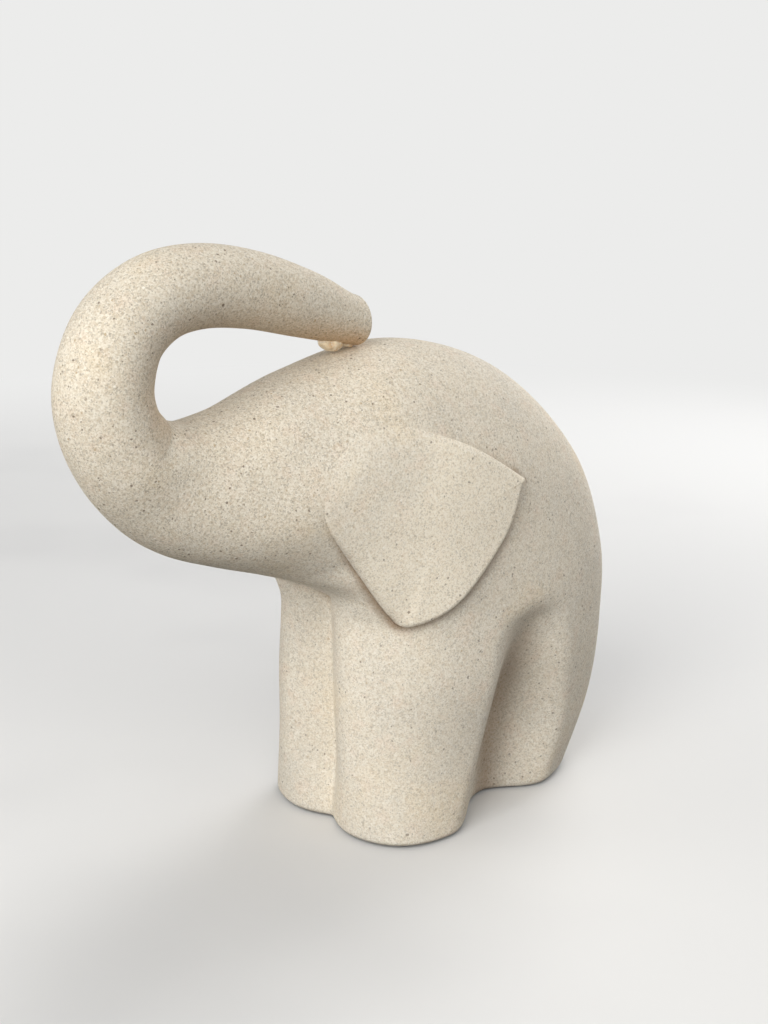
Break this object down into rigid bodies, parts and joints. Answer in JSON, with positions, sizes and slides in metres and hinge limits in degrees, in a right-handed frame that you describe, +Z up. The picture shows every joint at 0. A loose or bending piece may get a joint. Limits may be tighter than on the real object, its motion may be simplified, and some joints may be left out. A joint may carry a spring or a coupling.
{
  "type": "elephant figurine",
  "caption": "Smooth standing elephant figurine in speckled cast sandstone, with its trunk curled back to rest on its back and low-relief ears.",
  "frame": {"origin": "on the table, at the middle of the four feet, on the underside of the felt", "axes": "the elephant faces -Y, its left side is +X, and +Z is up"},
  "size_m": [0.1132, 0.2813, 0.2672],
  "materials": {
    "sandstone": "matt cast sandstone with fine dark, ochre and white grains",
    "dowel_steel": "drawn steel rod, hidden",
    "adhesive": "cured amber adhesive",
    "felt": "dark pressed felt"
  },
  "bodies": {
    "root": {"body": "sandstone", "trunk": "sandstone", "left_ear": "sandstone", "right_ear": "sandstone", "trunk_dowel_upper": "dowel_steel", "trunk_dowel_lower": "dowel_steel", "left_ear_pin_front": "dowel_steel", "left_ear_pin_rear": "dowel_steel", "right_ear_pin_front": "dowel_steel", "right_ear_pin_rear": "dowel_steel", "tip_bead": "adhesive", "base_felt": "felt"}
  },
  "joints": []
}
